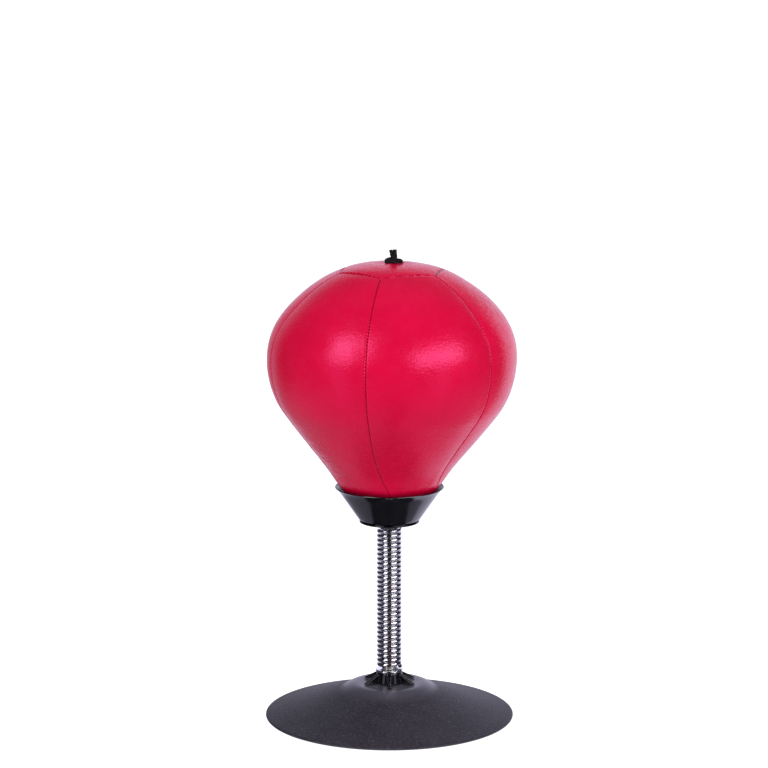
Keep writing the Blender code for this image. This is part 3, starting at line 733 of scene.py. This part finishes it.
def cover_rows():
    """Radius, height and outward direction from the tab in the cup up to the equator."""
    touch = math.atan2(TAPER_SLOPE * BALL_BELLY, BALL_RADIUS)
    touch_radius, touch_height, touch_normal = belly_point(touch)
    foot = Vector((NECK_RADIUS, TAB_Z))
    end = Vector((touch_radius, touch_height))
    bend = foot + (end - foot).normalized() * NECK_BEND
    down = Vector((0, -1))
    rows = [(TAB_INNER_RADIUS, TAB_Z, down)]
    tab = Vector((NECK_RADIUS - NECK_BEND, TAB_Z))
    for i in range(6):
        t = i / 5
        point = curve(tab, foot, bend, t)
        rows.append((point.x, point.y, down.lerp(touch_normal, t).normalized()))
    count = steps_for((end - bend).length)
    for i in range(1, count):
        point = bend.lerp(end, i / count)
        rows.append((point.x, point.y, touch_normal))
    count = steps_for(touch * (BALL_RADIUS + BALL_BELLY) / 2)
    rows += [belly_point(touch * (1 - i / count)) for i in range(count)]
    return rows


def top_edge(offset):
    """The top seam's radius: between a hexagon and a circle through its corners."""
    straight = TOP_HEX_RADIUS * math.cos(SEAM_ANGLE / 2) / math.cos(offset)
    return straight + (TOP_HEX_RADIUS - straight) * TOP_HEX_BOW


def neck_share(height):
    return (1 - min(max((height - CUP_TOP) / NECK_HEIGHT, 0.0), 1.0)) ** 3


def seam_sink(to_side, to_top):
    """How far the surface lies under the ball's plain form, near a side seam and the top seam."""
    distance = min(to_side, to_top)
    roll = 0.0
    if distance < SEAM_ROLL:
        roll = SEAM_ROLL - math.sqrt(SEAM_ROLL**2 - (SEAM_ROLL - max(distance, 0.0)) ** 2)
    side_pinch = math.exp(-((max(to_side, 0.0) / SEAM_PINCH_WIDTH) ** 1.4))
    top_pinch = TOP_PINCH * math.exp(-((max(to_top, 0.0) / SEAM_PINCH_WIDTH) ** 1.4))
    side_pinch *= 1 - (1 - TOP_PINCH) * math.exp(-((max(to_top, 0.0) / (2 * SEAM_PINCH_WIDTH)) ** 2))
    return roll + SEAM_PINCH * max(side_pinch, top_pinch)


# Seams that stray from even spacing: angle from the front towards +X and the shift there, in degrees.
SEAM_STRAYS = [(48, 3.2), (-72, -2.5), (168, 2.0)]
SEAM_STRAY_REACH = 26

# Places where the leather gives way: angle from the front towards +X, reach in degrees, level, rise and depth.
GIVES = [
    (-82, 60, 258 * MM, 14 * MM, 2.1 * MM),
    (80, 60, 256 * MM, 14 * MM, 0.4 * MM),
    (-84, 60, 184 * MM, 20 * MM, -1.3 * MM),
    (84, 70, 182 * MM, 22 * MM, -0.8 * MM),
    (180, 50, 200 * MM, 22 * MM, 1.0 * MM),
]

# Places where the leather is crinkled or puckered: angle from the front towards +X in degrees, level in metres,
# the reach around in degrees and up in metres, and the amount.
CRINKLES = [
    (-84, 0.176, 26, 0.022, 1.0),
    (-60, 0.158, 20, 0.010, 0.7),
    (82, 0.256, 26, 0.014, 0.8),
    (64, 0.243, 9, 0.012, 0.35),
    (150, 0.165, 30, 0.018, 0.8),
    (-150, 0.25, 24, 0.014, 0.5),
]


def crinkle_at(point):
    azimuth = math.degrees(math.atan2(point.x, -point.y))
    total = 0.05
    for middle, level, around, up, amount in CRINKLES:
        turn = degrees_between(azimuth, middle)
        total += amount * math.exp(-((turn / around) ** 2) - ((point.z - level) / up) ** 2)
    return min(total, 1.0)


def swell(point, seed):
    """Slow unevenness of stretched leather, and gathers running up from the cup."""
    slow = noise.noise(point * 28 + Vector((seed, 0, 0))) * 0.35 * MM
    neck = math.exp(-((point.z - CUP_TOP) / (16 * MM)) ** 2) if point.z > CUP_TOP else 1.0
    turn = math.atan2(point.x, -point.y)
    gather = 0.28 * MM * neck * noise.noise(Vector((turn * 5.5, seed, point.z * 30)))
    crease = crinkle_at(point)
    wave = noise.noise(Vector((turn * 3.0, point.z * 330, seed))) * 0.16 * MM * crease
    return slow + gather + wave


def sewn(angle):
    """An angle about the axis, moved as the hand-sewn seams stray from even spacing."""
    azimuth = math.degrees(angle) + 90
    moved = 0.0
    for middle, shift in SEAM_STRAYS:
        turn = degrees_between(azimuth, middle)
        moved += shift * math.exp(-((turn / SEAM_STRAY_REACH) ** 2))
    return angle + math.radians(moved)


def give(angle, height):
    """How much the leather has given way at an angle about the axis and a height."""
    azimuth = math.degrees(angle) + 90
    total = 0.0
    for middle, reach, level, rise, depth in GIVES:
        turn = degrees_between(azimuth, middle)
        total += depth * math.exp(-((turn / reach) ** 2) - (((height - level) / rise) ** 2))
    return total


def surface_point(radius, height, offset, middle):
    share = neck_share(height)
    flat = math.cos(SEAM_ANGLE / 2) / math.cos(offset)
    radius *= 1 - NECK_HEX * share * (1 - flat)
    radius += NECK_SWELL * math.exp(-(((height - CUP_TOP - NECK_SWELL_RISE) / NECK_SWELL_REACH) ** 2))
    angle = sewn(middle + offset + NECK_TWIST * share)
    radius -= give(angle, height)
    return Vector((radius * math.cos(angle), radius * math.sin(angle), height))


def lower_panel(index, look):
    """One gore, from the tab in the cup to the side of the top hexagon."""
    middle = gore_angle(index + 0.5)
    lower = cover_rows()
    dome_steps = steps_for(DOME_LENGTH)
    total = len(lower) + dome_steps + 1
    shares = [math.sin(math.pi / 2 * (2 * c / PANEL_COLUMNS - 1)) for c in range(PANEL_COLUMNS + 1)]
    points, near, crinkle, uvs = [], [], [], []
    length = [0.0] * len(shares)
    last = [None] * len(shares)
    for row in range(total):
        for column, share in enumerate(shares):
            offset = share * SEAM_ANGLE / 2
            to_top = 1.0
            if row < len(lower):
                radius, height, normal = lower[row]
            else:
                edge = math.acos((top_edge(offset) + SEAM_GAP) / BALL_RADIUS)
                part = (row - len(lower)) / dome_steps
                part = 1 - (1 - part) ** 1.35
                radius, height, normal = dome_point(edge * part)
                to_top = (radius - top_edge(offset)) * math.cos(offset)
            offset = share * (SEAM_ANGLE / 2 - math.asin(min(SEAM_GAP / radius, 0.5)))
            to_side = (SEAM_ANGLE / 2 - abs(offset)) * radius
            sink = seam_sink(to_side, to_top)
            inside = smoothstep(height, CUP_TOP - 9 * MM, CUP_TOP + 6 * MM)
            point = surface_point(radius, height, offset, middle)
            angle = math.atan2(point.y, point.x)
            outward = facing(angle, normal)
            distance = min(to_side, max(to_top, 0.0))
            calm = smoothstep(distance, 0, SEAM_CALM)
            shift = inside * (swell(point, index * 7.3) * calm - sink)
            point = point + outward * shift
            if last[column] is not None:
                length[column] += (point - last[column]).length
            last[column] = point
            points.append(point)
            near.append(math.exp(-distance / SEAM_SHADE))
            crinkle.append(crinkle_at(point) * (0.35 + 0.65 * calm))
            uvs.append((share * SEAM_ANGLE / 2 * BALL_RADIUS + index * 0.2, length[len(shares) // 2]))
    outward_count = len(points)
    width = len(shares)
    rows = [range(r * width, (r + 1) * width) for r in range(total)]
    inner = thicken(points, rows)
    faces = ring_faces(rows, closed_columns=False)
    back = [range(outward_count + r.start, outward_count + r.stop) for r in rows]
    faces += [tuple(reversed(f)) for f in ring_faces(back, closed_columns=False)]
    up_one_side = [row[-1] for row in rows[1:]]
    down_the_other = [row[0] for row in reversed(rows[1:-1])]
    border = [*rows[0], *up_one_side, *reversed(rows[-1][:-1]), *down_the_other]
    for a, b in zip(border, border[1:] + border[:1]):
        faces.append((a, b, b + outward_count, a + outward_count))
    panel = finish_mesh(f"leather_panel_{index + 1}", points + inner, faces, look)
    dress_panel(panel, near * 2, crinkle * 2, uvs * 2)
    place(lean(panel), "head", "red_leather", f"cover_panel_{index + 1}")


def thicken(points, rows):
    """The points of the inner face, the leather's thickness under a grid of outer points."""
    inner = []
    for r, row in enumerate(rows):
        below = rows[max(r - 1, 0)]
        above = rows[min(r + 1, len(rows) - 1)]
        for c in range(len(row)):
            along = points[above[c]] - points[below[c]]
            across = points[row[min(c + 1, len(row) - 1)]] - points[row[max(c - 1, 0)]]
            normal = across.cross(along)
            inner.append(points[row[c]] - normal.normalized() * LEATHER_DEPTH)
    return inner


def dress_panel(panel, near, crinkle, uvs):
    add_attribute(panel, "seam_near", near)
    add_attribute(panel, "crinkle", crinkle)
    layer = panel.data.uv_layers.new(name="panel")
    for loop in panel.data.loops:
        layer.data[loop.index].uv = uvs[loop.vertex_index]


def lace_dip(x, y):
    """Depth of the hollow that the lace pulls into the top, with short folds running out of it."""
    distance = math.hypot(x, y)
    turn = math.atan2(y, x)
    dip = DIMPLE_DEPTH * math.exp(-((distance / DIMPLE_RADIUS) ** 2))
    for side in (-1, 1):
        hole = math.hypot(x - side * LACE_SPAN, y)
        dip += 0.5 * MM * math.exp(-((hole / (1.5 * MM)) ** 2))
    fold = 0.22 * MM * math.exp(-(((distance - 5 * MM) / (5 * MM)) ** 2))
    return dip + fold * math.cos(5 * turn + 0.6) * smoothstep(distance, 0, 4 * MM)


def make_top_panel(look):
    """The hexagon that closes the ball."""
    rings = 56
    per_side = 36
    steps = PANEL_COUNT * per_side
    points, near, crinkle, uvs = [], [], [], []
    for depth in (0.0, LEATHER_DEPTH):
        for row in range(rings + 1):
            share = math.sin(math.pi / 2 * (row / rings)) if row else 0.012
            for i in range(steps):
                offset = (i % per_side / per_side - 0.5) * SEAM_ANGLE
                across = (top_edge(offset) - SEAM_GAP) * share
                radius, height, normal = dome_point(math.acos(across / BALL_RADIUS))
                angle = sewn(gore_angle(i / per_side))
                x, y = radius * math.cos(angle), radius * math.sin(angle)
                distance = TOP_HEX_RADIUS * math.cos(SEAM_ANGLE / 2) - across * math.cos(offset)
                sink = seam_sink(1.0, distance) + lace_dip(x - LACE_SHIFT, y) + depth
                calm = smoothstep(distance, 0, SEAM_CALM)
                sink -= noise.noise(Vector((x, y, height)) * 30) * 0.3 * MM * calm
                outward = facing(angle, normal)
                points.append(Vector((x, y, height)) - outward * sink)
                near.append(math.exp(-max(distance, 0.0) / SEAM_SHADE))
                crinkle.append(0.06 + 0.5 * math.exp(-((math.hypot(x, y) / (11 * MM)) ** 2)))
                uvs.append((x, y))
    rows = [range(r * steps, (r + 1) * steps) for r in range(2 * (rings + 1))]
    outer, inner = rows[: rings + 1], rows[rings + 1 :]
    faces = ring_faces(outer) + ring_faces([*reversed(inner)]) + ring_faces([outer[-1], inner[-1]])
    faces += [tuple(outer[0]), tuple(reversed(inner[0]))]
    panel = finish_mesh("leather_top_panel", points, faces, look)
    dress_panel(panel, near, crinkle, uvs)
    place(lean(panel), "head", "red_leather", "cover_top_panel")


def seam_path(index):
    """Points along the bottom of one seam's groove, from the cup to the top hexagon, with their directions."""
    angle_in_gore = SEAM_ANGLE / 2
    middle = gore_angle(index - 0.5)
    rows = [row for row in cover_rows() if row[1] > CUP_TOP - 4 * MM]
    edge = math.acos((TOP_HEX_RADIUS + 0.6 * MM) / BALL_RADIUS)
    rows += [dome_point(edge * i / 80) for i in range(81)]
    path = []
    for radius, height, normal in rows:
        point = surface_point(radius, height, angle_in_gore, middle)
        turn = math.atan2(point.y, point.x)
        outward = facing(turn, normal)
        path.append((point, outward))
    return path


def hex_path(index):
    """The same along one side of the top hexagon."""
    path = []
    for i in range(41):
        offset = (i / 40 - 0.5) * SEAM_ANGLE * 0.985
        radius, height, normal = dome_point(math.acos(top_edge(offset) / BALL_RADIUS))
        angle = sewn(gore_angle(index + 0.5) + offset)
        point = Vector((radius * math.cos(angle), radius * math.sin(angle), height))
        path.append((point, facing(angle, normal)))
    return path


def make_seam_thread(look):
    """A short bridge of thread across the groove at every stitch."""
    points, faces = [], []
    for path in [make(i) for make in (seam_path, hex_path) for i in range(PANEL_COUNT)]:
        travelled = 0.0
        following = STITCH_PITCH / 2
        for (a, up_a), (b, up_b) in zip(path, path[1:]):
            length = (b - a).length
            while travelled + length >= following:
                share = (following - travelled) / length
                middle = a.lerp(b, share)
                up = up_a.lerp(up_b, share).normalized()
                along = (b - a).normalized()
                across = along.cross(up).normalized()
                first = len(points)
                rows = []
                for k in range(THREAD_STEPS + 1):
                    t = 2 * k / THREAD_STEPS - 1
                    level = -(SEAM_ROLL * 0.62 + SEAM_PINCH) - STITCH_BOW * t * t
                    centre = middle + across * STITCH_HALF * t + up * level
                    rows.append(range(first + k * THREAD_SIDES, first + (k + 1) * THREAD_SIDES))
                    for s in range(THREAD_SIDES):
                        angle = 2 * math.pi * s / THREAD_SIDES
                        points.append(centre + THREAD_RADIUS * (math.cos(angle) * along + math.sin(angle) * up))
                faces += ring_faces(rows) + [tuple(rows[0]), tuple(reversed(rows[-1]))]
                following += STITCH_PITCH
            travelled += length
    place(lean(finish_mesh("seam_thread", points, faces, look)), "head", "red_leather")


# Lace.


def smooth_path(points, steps=10):
    """A Catmull-Rom curve through points."""
    ends = [2 * points[0] - points[1], *points, 2 * points[-1] - points[-2]]
    path = []
    for a, b, c, d in zip(ends, ends[1:], ends[2:], ends[3:]):
        for i in range(steps):
            t = i / steps
            bow = (2 * a - 5 * b + 4 * c - d) * t**2 + (3 * b - a - 3 * c + d) * t**3
            path.append(0.5 * (2 * b + (c - a) * t + bow))
    return [*path, points[-1]]


def make_lace(look):
    """A flat knot with two lobes over the punched holes, and two cut ends standing up."""
    over = BALL_TOP - DIMPLE_DEPTH + 0.9 * LACE_RADIUS
    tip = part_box("lace")[1].z - 0.2 * MM
    left = [
        (-2.1, -0.6, 0.0), (-1.6, -0.8, -1.6), (-1.2, -1.0, -3.4), (0.2, -1.5, -5.0),
        (2.2, -2.0, -5.8), (4.2, -0.9, -6.4), (4.3, 0.3, -7.6), (2.8, 0.3, -9.4),
    ]
    right = [
        (0.45, -0.7, 0.2), (0.45, -0.8, -2.0), (0.7, -0.2, -4.2), (-0.4, 0.7, -5.4),
        (-2.6, 0.2, -5.8), (-4.2, -0.8, -6.3), (-4.1, -0.9, -7.4), (-2.8, -0.6, -9.4),
    ]
    for name, route, thick in (("lace_left_end", left, 0.88), ("lace_right_end", right, 1.2)):
        path = [Vector((LACE_SHIFT + x * MM, y * MM, tip + z * MM)) for x, y, z in route]
        cord = swept(name, smooth_path(path), thick * LACE_RADIUS, LACE_SIDES, look, uv="cord")
        place(lean(cord), "head", "lace_cord", "lace")
    wrap = []
    for k in range(41):
        angle = 2 * math.pi * k / 40
        lift = LACE_RADIUS * (0.3 + 0.3 * math.sin(2 * angle))
        x, y = 2.9 * MM * math.cos(angle), 1.3 * MM * math.sin(angle)
        wrap.append(Vector((LACE_SHIFT + x, y - 0.5 * MM, over + lift)))
    knot = swept("lace_wrap", wrap, LACE_RADIUS, LACE_SIDES, look, uv="cord")
    place(lean(knot), "head", "lace_cord")


# Stage, lights and camera.

SOFTBOX_DISTANCE = 1.1
CAMERA_PLACE = (-0.0033, -1.75, 0.525)
CAMERA_DIP = math.radians(10.36)
CAMERA_LENS_MM = 139.08


def make_stage():
    size = 4.0
    points = [(-size, -size, 0), (size, -size, 0), (size, size, 0), (-size, size, 0)]
    look = Look("stage_floor", Roughness=0.9, Specular_IOR_Level=0.0)
    look.shader.inputs["Base Color"].default_value = (0.9, 0.9, 0.9, 1)
    look.shader.inputs["Emission Color"].default_value = (1, 1, 1, 1)
    look.shader.inputs["Emission Strength"].default_value = 0.75
    beneath = look.node("ShaderNodeNewGeometry").outputs["Backfacing"]
    look.set("Alpha", look.math("SUBTRACT", 1.0, beneath))
    floor = finish_mesh("stage_floor_plane", points, [(0, 1, 2, 3)], look.material)
    floor.location.z = -0.3 * MM
    floor.visible_glossy = False
    floor.visible_diffuse = False


def make_world():
    """White behind the object, and for reflections a dark room with a white screen behind and below."""
    world = bpy.data.worlds.new("studio")
    bpy.context.scene.world = world
    world.use_nodes = True
    world.cycles.sampling_method = "NONE"
    nodes = Nodes(world.node_tree)
    background = nodes.tree.nodes["Background"]
    maths, soft = nodes.math, nodes.spread
    direction = nodes.node("ShaderNodeTexCoord").outputs["Generated"]
    split = nodes.node("ShaderNodeSeparateXYZ", {0: direction})
    x, y, z = split.outputs
    turn = maths("ARCTAN2", x, y)
    behind = maths("MULTIPLY", soft(turn, -0.6, 0.0, 0.25, 0.9), soft(turn, 0.85, 0.98, 1, 0))
    behind = maths("MULTIPLY", behind, soft(turn, -0.9, -0.7))
    screen = maths("MULTIPLY", behind, soft(z, 0.2, 0.7, 1, 0.08))
    side = soft(maths("ABSOLUTE", turn), 2.7, 3.0, 1, 0)
    low = maths("MULTIPLY", soft(z, -0.6, -0.2, 0.3, 0), side)
    strip = soft(maths("ABSOLUTE", maths("SUBTRACT", maths("ABSOLUTE", turn), 2.3)), 0.08, 0.2, 0.7, 0)
    strip = maths("MULTIPLY", strip, maths("MULTIPLY", soft(z, -0.8, -0.4), soft(z, 0.2, 0.5, 1, 0)))
    amount = maths("MAXIMUM", screen, maths("MAXIMUM", low, strip))
    glossy = maths("ADD", maths("MULTIPLY", amount, 1.15), 0.025)
    fill = maths("ADD", soft(z, -0.5, 0.4, 0.8, 0.33), soft(z, 0.4, 1.0, 0, 0.3))
    path = nodes.node("ShaderNodeLightPath").outputs
    level = {"Factor": path["Is Glossy Ray"], "A": fill, "B": glossy}
    level = {"Factor": path["Is Camera Ray"], "A": nodes.node("ShaderNodeMix", level).outputs[0], "B": 1.05}
    nodes.tree.links.new(nodes.node("ShaderNodeMix", level).outputs[0], background.inputs["Strength"])
    tint = nodes.blend(path["Is Glossy Ray"], (1, 1, 1), (0.93, 0.9, 1.15))
    nodes.tree.links.new(tint, background.inputs["Color"])


def softbox(name, azimuth, elevation, width, height, power, roll=0.0):
    """A rectangular light that faces the ball. Azimuth is from the front towards +X."""
    data = bpy.data.lights.new(name, "AREA")
    data.shape = "RECTANGLE"
    data.size = width
    data.size_y = height
    data.energy = power
    obj = bpy.data.objects.new(name, data)
    a, e = math.radians(azimuth), math.radians(elevation)
    direction = Vector((math.sin(a) * math.cos(e), -math.cos(a) * math.cos(e), math.sin(e)))
    obj.location = Vector((0, 0, EQUATOR_Z)) + direction * SOFTBOX_DISTANCE
    aim = (-direction).to_track_quat("-Z", "Y").to_matrix().to_4x4()
    turned_by = Matrix.Rotation(math.radians(roll), 4, "Z")
    obj.matrix_world = Matrix.Translation(obj.location) @ aim @ turned_by
    bpy.context.scene.collection.objects.link(obj)


def make_lights():
    softbox("left_softbox", azimuth=-44, elevation=30, width=0.5, height=0.7, power=5.0)
    softbox("right_softbox", azimuth=44, elevation=20, width=1.05, height=0.46, power=6.8, roll=8)


def make_camera():
    data = bpy.data.cameras.new("camera")
    data.lens = CAMERA_LENS_MM
    data.sensor_width = 36.0
    data.clip_start = 0.05
    data.clip_end = 50
    camera = bpy.data.objects.new("camera", data)
    camera.location = CAMERA_PLACE
    camera.rotation_euler = (math.pi / 2 - CAMERA_DIP, 0, 0)
    bpy.context.scene.collection.objects.link(camera)
    bpy.context.scene.camera = camera


def dress_inner_nodes(steel, rubber, latex):
    """Materials of the CAD nodes that stay."""
    looks = {
        "clamp_plate": (steel, "zinc_plated_steel"),
        "base_bolt": (steel, "zinc_plated_steel"),
        "lower_spring_plug": (steel, "zinc_plated_steel"),
        "upper_spring_plug": (steel, "zinc_plated_steel"),
        "clamp_disc": (steel, "zinc_plated_steel"),
        "lock_washer": (steel, "zinc_plated_steel"),
        "cup_bolt": (steel, "zinc_plated_steel"),
        "sealing_washer": (rubber, "black_rubber"),
        "valve_body": (rubber, "black_rubber"),
        "bladder": (latex, "bladder_rubber"),
        "valve_plug": (latex, "bladder_rubber"),
    }
    for name, (look, slot) in looks.items():
        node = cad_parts[name]
        node.data.materials.clear()
        node.data.materials.append(look)


def main():
    scene = bpy.context.scene
    scene.view_settings.view_transform = "Standard"
    make_camera()
    make_stage()
    make_world()
    make_lights()

    leather = leather_look()
    chrome = metal_look("chrome", (0.93, 0.93, 0.96), 0.03, 350, 0.02 * MM)
    steel = metal_look("zinc_plated_steel", (0.62, 0.62, 0.6), 0.3, 500, 0.1 * MM)
    hub_black = gloss_black_look("hub_plastic", 0.1, (0.0028, 0.0028, 0.0042), 1.5)
    cup_black = gloss_black_look("cup_plastic", 0.12, (0.0012, 0.0011, 0.0026), 1.5)
    rubber = rubber_look("black_rubber", (0.012, 0.012, 0.013), (0.03, 0.03, 0.032), 0.65)
    latex = rubber_look("bladder_rubber", (0.42, 0.3, 0.2), (0.6, 0.46, 0.33), 0.55)
    cord = cord_look()

    make_suction_cup(pvc_look())
    make_hub(hub_black)
    washer("spring_seat_washer", "spring_seat_ring", BOLT_HOLE, 0.35 * MM, chrome, "hub")
    make_spring(chrome)
    washer("upper_seat_washer", "upper_washer", BOLT_HOLE, 0.25 * MM, chrome, "head")
    make_ball_cup(cup_black)
    for index in range(PANEL_COUNT):
        lower_panel(index, leather)
    make_top_panel(leather)
    make_seam_thread(thread_look())
    make_lace(cord)
    dress_inner_nodes(steel, rubber, latex)


main()
